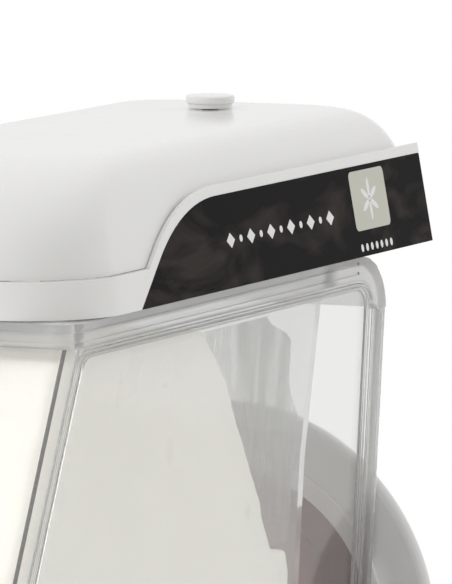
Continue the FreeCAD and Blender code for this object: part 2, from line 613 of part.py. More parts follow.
def rear_fittings():
    """Mains inlet and main rocker switch, both in the rear panel."""
    y1 = MACHINE_REAR_Y + SCREW_HEAD
    flange = box(INLET_X - 22, MACHINE_REAR_Y, INLET_Z - 15, INLET_X + 22, y1, INLET_Z + 15)
    shell = box(INLET_X - 13.5, MACHINE_REAR_Y - 24, INLET_Z - 9.5, INLET_X + 13.5, MACHINE_REAR_Y, INLET_Z + 9.5)
    cavity = box(INLET_X - 12, MACHINE_REAR_Y - 20, INLET_Z - 8, INLET_X + 12, y1 + 1, INLET_Z + 8)
    inlet = flange.fuse(shell).cut(cavity)
    for x in (-7, 0, 7):
        blade = box(INLET_X + x - 1, MACHINE_REAR_Y - 21, INLET_Z - 2, INLET_X + x + 1, MACHINE_REAR_Y - 6, INLET_Z + 2)
        inlet = inlet.fuse(blade)
    save("power_inlet", inlet.removeSplitter())
    frame = box(SWITCH_X - 13, MACHINE_REAR_Y, INLET_Z - 16, SWITCH_X + 13, MACHINE_REAR_Y + 1.2, INLET_Z + 16)
    tube = box(SWITCH_X - 10.5, MACHINE_REAR_Y - 14, INLET_Z - 13.5, SWITCH_X + 10.5, MACHINE_REAR_Y, INLET_Z + 13.5)
    hole = box(SWITCH_X - 9.5, MACHINE_REAR_Y - 12, INLET_Z - 12.5, SWITCH_X + 9.5, MACHINE_REAR_Y + 3, INLET_Z + 12.5)
    save("switch_frame", frame.fuse(tube).cut(hole).removeSplitter())
    rocker = cyl(15, 18, SWITCH_X - 9, SWITCH_PIVOT_Y - 12.2, INLET_Z, X_AXIS)
    window = box(SWITCH_X - 9, SWITCH_PIVOT_Y - 4, INLET_Z - 11.2, SWITCH_X + 9, y1, INLET_Z + 11.2)
    pin = cyl(2, 18.6, SWITCH_X - 9.3, SWITCH_PIVOT_Y, INLET_Z, X_AXIS)
    save("rocker_switch", rocker.common(window).fuse(pin))


SWITCH_PIVOT_Y = MACHINE_REAR_Y - 3.0


# ---- bowl ---------------------------------------------------------------------------------------
BAND_Z = RIM_Z - RIM_H                      # bottom of the rim band
JACKET_HALF_W = BOWL_HALF_W - 2.0
WINDOW_RECESS = 1.0
FRAME_FRONT_W, FRAME_REAR_W, FRAME_TOP_W = 15.0, 19.0, 4.0
OUTLET_Z = 372.0
OUTLET_R = 9.0


def front_y(z, inset=0.0):
    """The raked front wall at a height, moved in by a wall or a gap."""
    return BOWL_FRONT_Y + 2.0 + inset - (BAND_Z - max(z, RAKE_END_Z)) * tan(RAKE_DEG)


def side_x(z, inset=0.0):
    return JACKET_HALF_W - inset - (BAND_Z - z) * tan(DRAFT_DEG)


def tank_rear_y(z, inset=0.0):
    return TANK_REAR_Y - inset - (BAND_Z - max(z, TANK_LEAN_END_Z)) * tan(TANK_LEAN_DEG)


def under_corner(shrink):
    """Everything under the rim's rounded rear corner, moved in by a thickness."""
    a, b = CORNER_RUN - shrink, CORNER_DROP - shrink
    cy, cz = BOWL_REAR_Y - CORNER_RUN, RIM_Z - CORNER_DROP
    back, top = V(-150, cy + a, cz), V(-150, cy, cz + b)
    curve = Part.Arc(Part.Ellipse(back, top, V(-150, cy, cz)), 0, math.pi / 2).toShape()
    points = [top, V(-150, -400, cz + b), V(-150, -400, 300), V(-150, cy + a, 300), back]
    edges = [curve] + [Part.makeLine(p, q) for p, q in zip(points, points[1:])]
    return Part.Face(Part.Wire(edges)).extrude(V(300, 0, 0))


def corner_block(grow):
    return slab(150, BOWL_REAR_Y - CORNER_RUN, BOWL_REAR_Y + grow, RIM_Z - CORNER_DROP, RIM_Z + grow)


def jacket_solid(inset, top_z, rear_y):
    """Tapered box between the rim and the bowl's floor, with its walls moved in by inset."""
    floor = BOWL_FLOOR_Z + inset
    profile = [(rear_y, floor), (front_y(floor, inset), floor), (front_y(RAKE_END_Z, inset), RAKE_END_Z)]
    profile += [(front_y(top_z, inset), top_z), (rear_y, top_z)]
    side = prism_x(profile, -150, 150)
    x_low, x_top = side_x(floor, inset), side_x(top_z, inset)
    front = prism_y([(-x_low, floor), (x_low, floor), (x_top, top_z), (-x_top, top_z)], -300, 300)
    return side.common(front)


def jacket_corner(edge):
    low = min(edge.Vertexes, key=lambda v: v.Point.z).Point
    high = max(edge.Vertexes, key=lambda v: v.Point.z).Point
    upright = high.z - low.z > 50 and abs(low.x) > 20
    return upright and max(low.y, high.y) < 0


def bowl_jacket():
    """Clear outer jacket, open at the top and back, with a framed window in each side."""
    outer = fillet(jacket_solid(0, BAND_Z, BOWL_REAR_Y), 10, jacket_corner)
    inner = fillet(jacket_solid(JACKET_WALL, BAND_Z + 1, BOWL_REAR_Y + 1), 7, jacket_corner)
    shell = outer.cut(inner).cut(corner_block(5).cut(under_corner(RIM_H)))
    for side in (-1, 1):
        shell = shell.cut(window_pocket(side))
    hole = cyl(OUTLET_R + 4, 40, 0, front_y(OUTLET_Z) - 20, OUTLET_Z, Y_AXIS)
    save("bowl_jacket", shell.cut(hole))


def window_pocket(side):
    """Shallow recess that leaves a proud frame round the side window."""
    low, high = BOWL_FLOOR_Z + 30, BAND_Z - FRAME_TOP_W
    rear = BOWL_REAR_Y - FRAME_REAR_W
    profile = [(rear, low), (front_y(low, FRAME_FRONT_W), low)]
    profile += [(front_y(RAKE_END_Z, FRAME_FRONT_W), RAKE_END_Z), (front_y(high, FRAME_FRONT_W), high), (rear, high)]
    x0, x1 = side_x(low) - WINDOW_RECESS, side_x(high) - WINDOW_RECESS
    front = prism_y([(x0, low), (x0 + 20, low), (x1 + 20, high), (x1, high)], -300, 300)
    pocket = prism_x(profile, 0, 150).common(front)
    pocket = fillet(pocket, 9, lambda e: e.BoundBox.XLength > 15 and e.BoundBox.ZLength < 8)
    return pocket if side > 0 else mirror_x(pocket)


TANK_FRONT = DOUBLE_WALL - TANK_WALL
TANK_TOP_Z = BAND_Z - GAP


def tank_solid(inset, top_z):
    """Inside or outside of the tank: raked front, drafted sides, leaning back, half-round bottom."""
    extra = TANK_FRONT + inset
    r = side_x(AXIS_Z, extra - 2.0)
    floor = AXIS_Z - r
    rear = [(tank_rear_y(z, inset), z) for z in (top_z, TANK_LEAN_END_Z, floor)]
    front = [(front_y(RAKE_END_Z, extra), floor), (front_y(RAKE_END_Z, extra), RAKE_END_Z), (front_y(top_z, extra), top_z)]
    side = prism_x(rear + front, -150, 150)
    x_top = side_x(top_z, extra - 2.0)
    upper = prism_y([(-r, AXIS_Z), (r, AXIS_Z), (x_top, top_z), (-x_top, top_z)], -300, 300)
    trough = cyl(r, 600, 0, -300, AXIS_Z, Y_AXIS)
    return side.common(upper.fuse(trough))


def inner_tank():
    """Clear tank that holds the drink; its back opens round the evaporator's neck."""
    shell = tank_solid(0, TANK_TOP_Z).cut(tank_solid(TANK_WALL, TANK_TOP_Z + 1))
    shell = shell.cut(cyl(TANK_BORE_R, 60, 0, TANK_REAR_Y - 50, AXIS_Z, Y_AXIS))
    shell = shell.cut(cyl(OUTLET_R, 60, 0, front_y(OUTLET_Z) - 20, OUTLET_Z, Y_AXIS))
    save("inner_tank", shell)


RIM_STEPS = ((0.0, 2.4), (1.4, 1.6), (0.2, 3.0), (1.6, 1.6), (0.4, 2.8))    # inset and height, from the top
RIM_SKIN = 4.0


def rim_outline(inset, z):
    return round_rect(BOWL_HALF_W - inset, BOWL_FRONT_Y + inset, BOWL_REAR_Y - inset, z, 12 - inset)


def bowl_rim():
    """Clear rim in horizontal steps; behind the tank it is a skin that curves down to the jacket's back."""
    z = RIM_Z
    band = None
    for inset, height in RIM_STEPS:
        step = Part.Face(rim_outline(inset, z - height)).extrude(V(0, 0, height))
        band = step if band is None else band.fuse(step)
        z -= height
    y1 = TANK_REAR_Y
    hole = round_box(JACKET_HALF_W - DOUBLE_WALL + 2, BOWL_FRONT_Y + DOUBLE_WALL, y1, BAND_Z - 1, RIM_Z + 1, 8)
    x_in = JACKET_HALF_W - JACKET_WALL - 2
    band = band.fuse(corner_block(0).common(slab(BOWL_HALF_W - 0.5, 0, BOWL_REAR_Y, 0, RIM_Z)))
    band = band.common(under_corner(0)).cut(corner_block(1).common(under_corner(RIM_H)))
    rear = slab(x_in, y1 + 6, BOWL_REAR_Y + 1, RIM_Z - CORNER_DROP - 1, RIM_Z).common(under_corner(RIM_SKIN))
    save("bowl_rim", band.cut(hole).cut(rear).removeSplitter())


PRODUCT_CLEAR = 0.5
PRODUCT_SLOPE = ((7.0, 598.0), (32.0, 572.0), (55.0, 543.0), (86.0, 500.0), (100.0, 480.0))    # y, z


def product():
    """Frozen cream, heaped at the front and sloping down to the back, clear of the auger."""
    mass = tank_solid(TANK_WALL + PRODUCT_CLEAR, TANK_TOP_Z)
    crest_z, toe_z = PRODUCT_SLOPE[0][1], PRODUCT_SLOPE[-1][1]
    profile = [(-300, crest_z), (-300, 300), (200, 300), (200, toe_z)] + list(reversed(PRODUCT_SLOPE))
    mass = mass.common(prism_x(profile, -150, 150))
    sweep = cyl(AUGER_R + 1, 400, 0, AUGER_Y0 - AUGER_T, AXIS_Z, Y_AXIS)
    nose = cyl(NOSE_R + 2, 200, 0, SHAFT_FRONT_Y - 8, AXIS_Z, Y_AXIS)
    neck = cyl(TANK_BORE_R, 400, 0, NECK_Y0 - MOVE_GAP, AXIS_Z, Y_AXIS)
    mass = mass.cut(sweep).cut(nose).cut(neck)
    save("frozen_product", max(mass.Solids, key=lambda s: s.Volume))


# ---- tap ----------------------------------------------------------------------------------------
TAP_HALF_W = 21.0
TAP_TOP_Z = 398.0
PIVOT_Y, PIVOT_Z = TAP_Y + 13.0, TAP_TOP_Z + 16.0
PIN_R = 3.0


def tap_body():
    y1 = front_y(OUTLET_Z) - GAP
    block = round_box(TAP_HALF_W, TAP_Y - 18, y1, SPOUT_Z + 22, TAP_TOP_Z, 6)
    spout = cyl(17, 30, 0, TAP_Y, SPOUT_Z, Z_AXIS)
    body = block.fuse(spout)
    for side in (-1, 1):
        ear = box(side * 14.5 - 2.5, PIVOT_Y - 7, TAP_TOP_Z - 1, side * 14.5 + 2.5, y1, PIVOT_Z)
        body = body.fuse(ear).fuse(cyl(7, 5, side * 14.5 - 2.5, PIVOT_Y, PIVOT_Z, X_AXIS))
    body = body.cut(cyl(PISTON_R, 200, 0, TAP_Y, SPOUT_Z - 1, Z_AXIS))
    body = body.cut(cyl(OUTLET_R, 60, 0, TAP_Y, OUTLET_Z - 12, Y_AXIS))
    body = body.cut(cyl(PIN_R, 60, -30, PIVOT_Y, PIVOT_Z, X_AXIS))
    save("tap_body", body.common(slab(60, TAP_Y - 40, y1, 0, 500)).removeSplitter())


def tap_small_parts():
    save("handle_pin", cyl(PIN_R - RUN, 46, -23, PIVOT_Y, PIVOT_Z, X_AXIS))
    nozzle = ring(20, 17 + GAP, 16, 0, TAP_Y, SPOUT_Z - 2, Z_AXIS).fuse(
        ring(20, PISTON_R, 3, 0, TAP_Y, SPOUT_Z - 5, Z_AXIS))
    for i in range(6):
        tooth = box(PISTON_R - 4, -1.6, SPOUT_Z - 5, PISTON_R + 1, 1.6, SPOUT_Z - 2)
        tooth.rotate(V(0, 0, 0), Z_AXIS, 60 * i)
        tooth.translate(V(0, TAP_Y, 0))
        nozzle = nozzle.fuse(tooth)
    save("star_nozzle", nozzle.removeSplitter())
    spring = Part.Wire(Part.makeHelix(2.4, 7.2, 5.2).Edges)
    start = [V(5.2 + a, 0, b) for a, b in ((-0.6, -0.6), (0.6, -0.6), (0.6, 0.6), (-0.6, 0.6))]
    coil = spring.makePipeShell([Part.makePolygon(start + [start[0]])], True, True)
    coil.rotate(V(0, 0, 0), Y_AXIS, 90)
    coil.translate(V(-3.6, PIVOT_Y, PIVOT_Z))
    save("handle_spring", coil)


PISTON_TOP_Z = PIVOT_Z + 6
RING_W = 2.2


def tap_piston():
    """Piston with two O-ring grooves and a cross pin that the handle's fork lifts."""
    stem = cyl(PISTON_R - RUN, TAP_TOP_Z - SPOUT_Z - 6, 0, TAP_Y, SPOUT_Z + 4, Z_AXIS)
    neck = cyl(5, PISTON_TOP_Z - TAP_TOP_Z + 4, 0, TAP_Y, TAP_TOP_Z - 4, Z_AXIS)
    bar = cyl(2.5, 22, -11, TAP_Y, PIVOT_Z, X_AXIS)
    stem = stem.fuse(neck).fuse(bar)
    seals = []
    for z in (SPOUT_Z + 12, SPOUT_Z + 72):
        stem = stem.cut(ring(PISTON_R + 1, PISTON_R - 1.8, RING_W, 0, TAP_Y, z, Z_AXIS))
        seals.append(ring(PISTON_R - 0.1, PISTON_R - 1.7, RING_W - 0.2, 0, TAP_Y, z + 0.1, Z_AXIS))
    save("tap_piston", stem)
    save("piston_rings", *seals)


def tap_handle():
    """Fork over the piston's cross pin, and a paddle that hangs in front of the tap."""
    front = TAP_Y - 32
    outline = [(PIVOT_Y + 4.5, PIVOT_Z - 4), (PIVOT_Y + 4.5, PIVOT_Z + 4), (front + 8, PIVOT_Z + 10)]
    outline += [(front, PIVOT_Z + 2), (front, PIVOT_Z - 10), (front + 8, PIVOT_Z - 8)]
    cheek = prism_x(outline, 7.0, 11.4)
    slot = box(6, TAP_Y - 5, PIVOT_Z - 4.2, 12, TAP_Y + 5, PIVOT_Z + 4.2)
    cheek = cheek.cut(slot).cut(cyl(PIN_R, 40, 0, PIVOT_Y, PIVOT_Z, X_AXIS))
    paddle = box(-17, front - 9, PIVOT_Z - 84, 17, front - 1, PIVOT_Z + 8)
    paddle = fillet(paddle, 3.5, lambda e: True)
    bridge = box(-11.4, front - 4, PIVOT_Z - 10, 11.4, front + 8, PIVOT_Z + 4)
    save("tap_handle", cheek.fuse([mirror_x(cheek), bridge, paddle]).removeSplitter())


# ---- lid ----------------------------------------------------------------------------------------
DOME_FRONT_RUN = 80.0      # length of the front slope, seen from above
DOME_SIDE_RUN = 30.0       # width of a shoulder, over and above the sides' lean
DOME_REAR_RUN = 30.0
DOME_STEP = 1.6            # the dome stands in from the skirt
DOME_LEVELS = (0.0, 0.22, 0.44, 0.62, 0.77, 0.88, 0.955, 0.99, 1.0)
LID_TOP_Z = LID_SKIRT_Z + LID_H
SWOOP_DEG = 36.8           # straight part of the side plate's front end
SWOOP_R = 117.0
PLATE_FRONT_Y = -97.7     # lowest front point of the graphic plate
FLANGE_T = 4.6


def shoulder(h, power):
    """Share of a run taken up at a height share h, on a superellipse."""
    return 1 - (1 - h ** power) ** (1 / power)


def dome_section(h, inset):
    z = LID_SKIRT_Z + SKIRT_H + (LID_H - SKIRT_H - inset) * h
    half0 = LID_HALF_W - HOLDER_T - GAP - inset - (z - LID_SKIRT_Z) * tan(LID_TILT_DEG)
    half = half0 - DOME_SIDE_RUN * shoulder(h, 3.0)
    y0 = LID_FRONT_Y + 3 + DOME_STEP + inset + DOME_FRONT_RUN * shoulder(h, 2.2)
    y1 = LID_REAR_Y - DOME_STEP - inset - DOME_REAR_RUN * shoulder(h, 2.0)
    return round_rect(half, y0, y1, z, LID_CORNER_R - inset - 8 * h, LID_REAR_R - inset - 4 * h)


def lid_dome():
    outer = loft([dome_section(h, 0) for h in DOME_LEVELS])
    inner = loft([dome_section(h, LID_WALL) for h in DOME_LEVELS])
    shell = outer.cut(inner).cut(cyl(KNOB_STEM_R + RUN, 40, 0, KNOB_Y, LID_TOP_Z - 20, Z_AXIS))
    save("lid_dome", shell)


KNOB_STEM_R = 4.0


def swoop_wire(out, y_end, x):
    """Outline of the side plate, grown by out, in an upright plane: swept front end, square back."""
    a = math.radians(SWOOP_DEG)
    corner_y = PLATE_FRONT_Y + PLATE_H / math.tan(a)
    reach = SWOOP_R * math.tan(a / 2)
    cy, cz = corner_y + reach, PLATE_H - SWOOP_R
    r = SWOOP_R + out

    def on_arc(angle):
        return V(x, cy - r * math.sin(angle), cz + r * math.cos(angle))

    low = V(x, PLATE_FRONT_Y - out / math.sin(a), 0)
    top, back = V(x, y_end, PLATE_H + out), V(x, y_end, 0)
    edges = [Part.makeLine(low, on_arc(a)), Part.Arc(on_arc(a), on_arc(a / 2), on_arc(0)).toShape()]
    edges += [Part.makeLine(on_arc(0), top), Part.makeLine(top, back), Part.makeLine(back, low)]
    return Part.Wire(edges)


def side_slab(out, y_end, x_in, x_out):
    """Plate outline given a thickness, then leaned to the skirt's side."""
    plate = Part.Face(swoop_wire(out, y_end, x_in)).extrude(V(x_out - x_in, 0, 0))
    plate.rotate(V(0, 0, 0), Y_AXIS, -LID_TILT_DEG)
    plate.translate(V(LID_HALF_W, 0, LID_SKIRT_Z))
    return plate


def lid_skirt():
    """Band round the lid's foot with a holder for a graphic plate rising from each side."""
    def band(inset, z0, z1):
        radii = LID_CORNER_R - inset, LID_REAR_R - inset
        bottom = round_rect(LID_HALF_W - inset, LID_FRONT_Y + inset, LID_REAR_Y - inset, z0, *radii)
        lean = SKIRT_H * tan(LID_TILT_DEG) + inset
        top = round_rect(LID_HALF_W - lean, LID_FRONT_Y + lean, LID_REAR_Y - lean, z1, *radii)
        return loft([bottom, top], True)

    z0, z1 = LID_SKIRT_Z, LID_SKIRT_Z + SKIRT_H - GAP
    skirt = band(0, z0, z1)
    core = round_rect(LID_HALF_W - 7, LID_FRONT_Y + 7, LID_REAR_Y - 7, z0 - 1, LID_CORNER_R - 7, LID_REAR_R - 7)
    skirt = skirt.cut(Part.Face(core).extrude(V(0, 0, 40)))
    holder = side_slab(HOLDER_RIM, PLATE_REAR_Y, -HOLDER_T, 0)
    pocket = side_slab(0, PLATE_REAR_Y + 5, -PLATE_T, 5)
    for slab_part in (holder, mirror_x(holder)):
        skirt = skirt.fuse(slab_part)
    for slot in (pocket, mirror_x(pocket)):
        skirt = skirt.cut(slot)
    hidden = loft([dome_section(h, -GAP) for h in (0.0, 0.3, 0.6, 0.8)])
    save("lid_skirt", max(skirt.cut(hidden).Solids, key=lambda s: s.Volume))


def graphic_plates():
    plate = side_slab(-0.15, PLATE_REAR_Y - 0.5, -PLATE_T + 0.05, 0)
    save("graphic_plate_right", plate)
    save("graphic_plate_left", mirror_x(plate))


def lid_liner():
    """Flange that rests on the rim, with a lip that hangs inside the bowl's mouth."""
    z1 = LID_SKIRT_Z + 2
    z0 = RIM_Z + GAP / 2
    mouth = JACKET_HALF_W - DOUBLE_WALL + 2
    plate = round_box(LID_HALF_W - 10, LID_FRONT_Y + 10, LID_REAR_Y - 10, z0, z1, LID_CORNER_R - 10)
    lip = round_box(mouth - 1.5, BOWL_FRONT_Y + DOUBLE_WALL + 1.5, TANK_REAR_Y - 1.5, z0 - 7, LID_SKIRT_Z - GAP, 7)
    inside = round_box(mouth - 4, BOWL_FRONT_Y + DOUBLE_WALL + 4, TANK_REAR_Y - 4, z0 - 9, z1 + 1, 6)
    save("lid_liner", plate.fuse(lip).cut(inside).removeSplitter())


def lid_light():
    """Light board on posts under the dome's roof."""
    z1 = LID_TOP_Z - LID_WALL
    board = slab(28, -46, 110, z1 - 14, z1 - 12.4)
    parts = [cyl(3, 12.4 - GAP, x, y, z1 - 12.4, Z_AXIS) for x in (-20, 20) for y in (-30, 94)]
    for i in range(9):
        parts.append(slab(2, -34 + i * 16, -30 + i * 16, z1 - 15, z1 - 13.9))
    save("lid_light_board", board.fuse(parts))


def lid_knob():
    z0 = LID_TOP_Z + MOVE_GAP
    lower = cyl(11, 2, 0, KNOB_Y, z0, Z_AXIS)
    upper = cyl(12, 4, 0, KNOB_Y, z0 + 2, Z_AXIS)
    upper = fillet(upper, 1.2, lambda e: e.Closed and abs(e.BoundBox.ZLength) < 0.01)
    stem = cyl(KNOB_STEM_R, 14, 0, KNOB_Y, z0 - 13.5, Z_AXIS)
    catch = box(-4, KNOB_Y - 10, z0 - 13.5, 4, KNOB_Y + 10, z0 - 10.5)
    save("lid_knob", lower.fuse([upper, stem, catch]).removeSplitter())


# ---- drip tray ----------------------------------------------------------------------------------
TRAY_REAR_Y = BODY_FRONT_Y - MOVE_GAP
TRAY_WALL = 2.5
GRILLE_T = 3.0


def tray_bracket():
    """Folded shelf on the front cover that the tray slides onto."""
    shelf = slab(TRAY_HALF_W - 14, MACHINE_FRONT_Y + 45, BODY_FRONT_Y, TRAY_Z - 2.6, TRAY_Z - MOVE_GAP)
    web = slab(TRAY_HALF_W - 14, BODY_FRONT_Y - 2, BODY_FRONT_Y, BASE_Z + 8, TRAY_Z - MOVE_GAP)
    legs = []
    for side in (-1, 1):
        x = side * (TRAY_HALF_W - 15)
        outline = [(BODY_FRONT_Y, BASE_Z + 8), (BODY_FRONT_Y, TRAY_Z - 2), (MACHINE_FRONT_Y + 46, TRAY_Z - 2)]
        legs.append(prism_x(outline, x - 1, x + 1))
    save("tray_bracket", shelf.fuse([web] + legs).removeSplitter())


def drip_tray():
    z1 = TRAY_Z + TRAY_H
    outer = round_box(TRAY_HALF_W, MACHINE_FRONT_Y, TRAY_REAR_Y, TRAY_Z, z1, 22)
    inner = round_box(TRAY_HALF_W - TRAY_WALL, MACHINE_FRONT_Y + TRAY_WALL, TRAY_REAR_Y - TRAY_WALL,
                      TRAY_Z + TRAY_WALL, z1 + 1, 20)
    seat = round_box(TRAY_HALF_W - 1.2, MACHINE_FRONT_Y + 1.2, TRAY_REAR_Y - 1.2, z1 - GRILLE_T - 0.3, z1 + 1, 21)
    save("drip_tray", outer.cut(inner).cut(seat))


def drip_grille():
    """Flat grille in the tray's mouth, with long slots across it."""
    z1 = TRAY_Z + TRAY_H
    inset = 1.2 + MOVE_GAP
    plate = round_box(TRAY_HALF_W - inset, MACHINE_FRONT_Y + inset, TRAY_REAR_Y - inset, z1 - GRILLE_T, z1, 20)
    slots = []
    y = MACHINE_FRONT_Y + 14
    while y < TRAY_REAR_Y - 14:
        for x0, x1 in ((-78, -4), (4, 78)):
            slots.append(box(x0, y, z1 - 10, x1, y + 3.6, z1 + 1))
        y += 8.0
    save("drip_grille", cut_all(plate, slots))


for build in (
    base_pan, rubber_feet, front_cover, side_panels, rear_panel, top_deck, rear_housing, housing_cover,
    panel_screws, evaporator_barrel, evaporator_collar, bowl_seal, front_bushes, drive_shaft, auger,
    auger_nose, gears, gearbox, gear_motor, compressor, compressor_grommets, condenser, fan,
    refrigerant_pipes, filter_drier, control_bezel, buttons, control_board, rear_fittings, bowl_jacket,
    inner_tank, bowl_rim, product, tap_body, tap_small_parts, tap_piston, tap_handle, lid_dome, lid_skirt,
    graphic_plates, lid_liner, lid_light, lid_knob, tray_bracket, drip_tray, drip_grille,
):
    build()
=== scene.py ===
"""Studio scene of a single-bowl frozen-drink dispenser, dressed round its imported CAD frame.

Lengths are metres in the row frame: +Z up, the front towards -Y, the floor at z = 0.
"""
import json
import math

import bmesh
import bpy
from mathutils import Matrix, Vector, noise


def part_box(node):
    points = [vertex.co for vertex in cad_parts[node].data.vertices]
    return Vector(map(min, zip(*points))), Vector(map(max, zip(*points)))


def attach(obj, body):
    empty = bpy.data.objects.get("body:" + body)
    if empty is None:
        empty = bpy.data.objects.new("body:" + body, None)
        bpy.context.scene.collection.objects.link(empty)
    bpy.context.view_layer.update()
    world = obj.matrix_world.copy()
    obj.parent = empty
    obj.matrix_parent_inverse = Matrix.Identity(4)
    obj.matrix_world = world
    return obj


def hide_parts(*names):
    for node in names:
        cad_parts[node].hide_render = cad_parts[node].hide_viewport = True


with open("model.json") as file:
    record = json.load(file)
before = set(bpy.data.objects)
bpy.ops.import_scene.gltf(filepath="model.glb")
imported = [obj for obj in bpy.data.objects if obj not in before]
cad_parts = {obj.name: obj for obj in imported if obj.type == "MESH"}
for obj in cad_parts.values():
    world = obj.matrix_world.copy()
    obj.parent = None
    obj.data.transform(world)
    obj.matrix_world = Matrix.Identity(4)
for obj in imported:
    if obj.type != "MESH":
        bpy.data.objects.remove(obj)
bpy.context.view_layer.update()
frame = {"nodes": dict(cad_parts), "record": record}
NODES = frame["nodes"]
MM = 0.001


# ---- camera, light and floor --------------------------------------------------------------------
SKIRT_LO, SKIRT_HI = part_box("lid_skirt")
CAMERA_AZ, CAMERA_EL = math.radians(24.3), math.radians(6.24)
CAMERA_LENS, CAMERA_SENSOR = 474.0, 36.0
CAMERA_DISTANCE = 3.578
AIM_BEHIND_FRONT = 0.1595      # aim point, behind the skirt's front and a little under its foot
AIM_DROP = 0.001


def make_camera():
    back = Vector((math.sin(CAMERA_AZ) * math.cos(CAMERA_EL), -math.cos(CAMERA_AZ) * math.cos(CAMERA_EL),
                   math.sin(CAMERA_EL)))
    aim = Vector((SKIRT_HI.x, SKIRT_LO.y + AIM_BEHIND_FRONT, SKIRT_FOOT_Z - AIM_DROP))
    data = bpy.data.cameras.new("camera")
    data.lens, data.sensor_width = CAMERA_LENS, CAMERA_SENSOR
    camera = bpy.data.objects.new("camera", data)
    bpy.context.scene.collection.objects.link(camera)
    camera.location = aim + back * CAMERA_DISTANCE
    camera.rotation_mode = "QUATERNION"
    camera.rotation_quaternion = (-back).to_track_quat("-Z", "Y")
    data.clip_start, data.clip_end = 0.1, 100.0
    bpy.context.scene.camera = camera


SKIRT_FOOT_Z = 0.618


def area_light(name, place, aim, size_x, size_y, watts, colour=(1, 1, 1), glossy=False):
    data = bpy.data.lights.new(name, "AREA")
    data.shape, data.size, data.size_y = "RECTANGLE", size_x, size_y
    data.energy, data.color = watts, colour
    lamp = bpy.data.objects.new(name, data)
    bpy.context.scene.collection.objects.link(lamp)
    lamp.location = place
    lamp.rotation_mode = "QUATERNION"
    lamp.rotation_quaternion = (Vector(aim) - Vector(place)).to_track_quat("-Z", "Y")
    lamp.visible_glossy = glossy
    return lamp


def make_world():
    """White studio that is dimmer on the side to the right of the front."""
    world = bpy.data.worlds.new("studio")
    bpy.context.scene.world = world
    world.use_nodes = True
    nt = world.node_tree
    nt.nodes.clear()
    coords = nt.nodes.new("ShaderNodeTexCoord")
    dot = nt.nodes.new("ShaderNodeVectorMath")
    dot.operation = "DOT_PRODUCT"
    dot.inputs[1].default_value = Vector((0.86, -0.42, -0.28)).normalized()
    ramp = nt.nodes.new("ShaderNodeValToRGB")
    ramp.color_ramp.elements[0].position, ramp.color_ramp.elements[0].color = 0.0, (1.0, 1.0, 1.0, 1)
    ramp.color_ramp.elements[1].position, ramp.color_ramp.elements[1].color = 0.95, (0.50, 0.495, 0.48, 1)
    out = nt.nodes.new("ShaderNodeOutputWorld")
    back = nt.nodes.new("ShaderNodeBackground")
    backdrop = nt.nodes.new("ShaderNodeBackground")
    path = nt.nodes.new("ShaderNodeLightPath")
    mix = nt.nodes.new("ShaderNodeMixShader")
    nt.links.new(coords.outputs["Generated"], dot.inputs[0])
    nt.links.new(dot.outputs["Value"], ramp.inputs["Fac"])
    nt.links.new(ramp.outputs["Color"], back.inputs["Color"])
    nt.links.new(path.outputs["Is Camera Ray"], mix.inputs["Fac"])
    nt.links.new(back.outputs["Background"], mix.inputs[1])
    nt.links.new(backdrop.outputs["Background"], mix.inputs[2])
    nt.links.new(mix.outputs["Shader"], out.inputs["Surface"])
    back.inputs["Strength"].default_value = 0.86
    backdrop.inputs["Color"].default_value = (1.0, 1.0, 1.0, 1)
    backdrop.inputs["Strength"].default_value = 1.0


def make_floor():
    bpy.ops.mesh.primitive_plane_add(size=6.0, location=(0, 0, 0))
    floor = bpy.context.object
    floor.name = "floor"
    floor.data.materials.append(finish("floor_paper", (0.90, 0.90, 0.89), 0.75, 0.05, 40.0, bump=0.0))


# ---- materials ----------------------------------------------------------------------------------
def link(nt, a, b):
    nt.links.new(a, b)


def noise_node(nt, scale, detail=3.0, distortion=0.0, stretch=(1, 1, 1)):
    coords = nt.nodes.new("ShaderNodeTexCoord")
    mapping = nt.nodes.new("ShaderNodeMapping")
    mapping.inputs["Scale"].default_value = stretch
    tex = nt.nodes.new("ShaderNodeTexNoise")
    tex.inputs["Scale"].default_value = scale
    tex.inputs["Detail"].default_value = detail
    tex.inputs["Distortion"].default_value = distortion
    link(nt, coords.outputs["Object"], mapping.inputs["Vector"])
    link(nt, mapping.outputs["Vector"], tex.inputs["Vector"])
    return tex


def spread(nt, source, low, high):
    node = nt.nodes.new("ShaderNodeMapRange")
    node.inputs["From Min"].default_value, node.inputs["From Max"].default_value = 0.3, 0.7
    node.inputs["To Min"].default_value, node.inputs["To Max"].default_value = low, high
    link(nt, source, node.inputs["Value"])
    return node.outputs["Result"]


def tint(nt, source, colour, change):
    """Colour that drifts by a small share of its value."""
    ramp = nt.nodes.new("ShaderNodeValToRGB")
    low, high = ramp.color_ramp.elements
    low.position, high.position = 0.3, 0.7
    low.color = tuple(c * (1 - change) for c in colour) + (1,)
    high.color = tuple(min(1.0, c * (1 + change)) for c in colour) + (1,)
    link(nt, source, ramp.inputs["Fac"])
    return ramp.outputs["Color"]


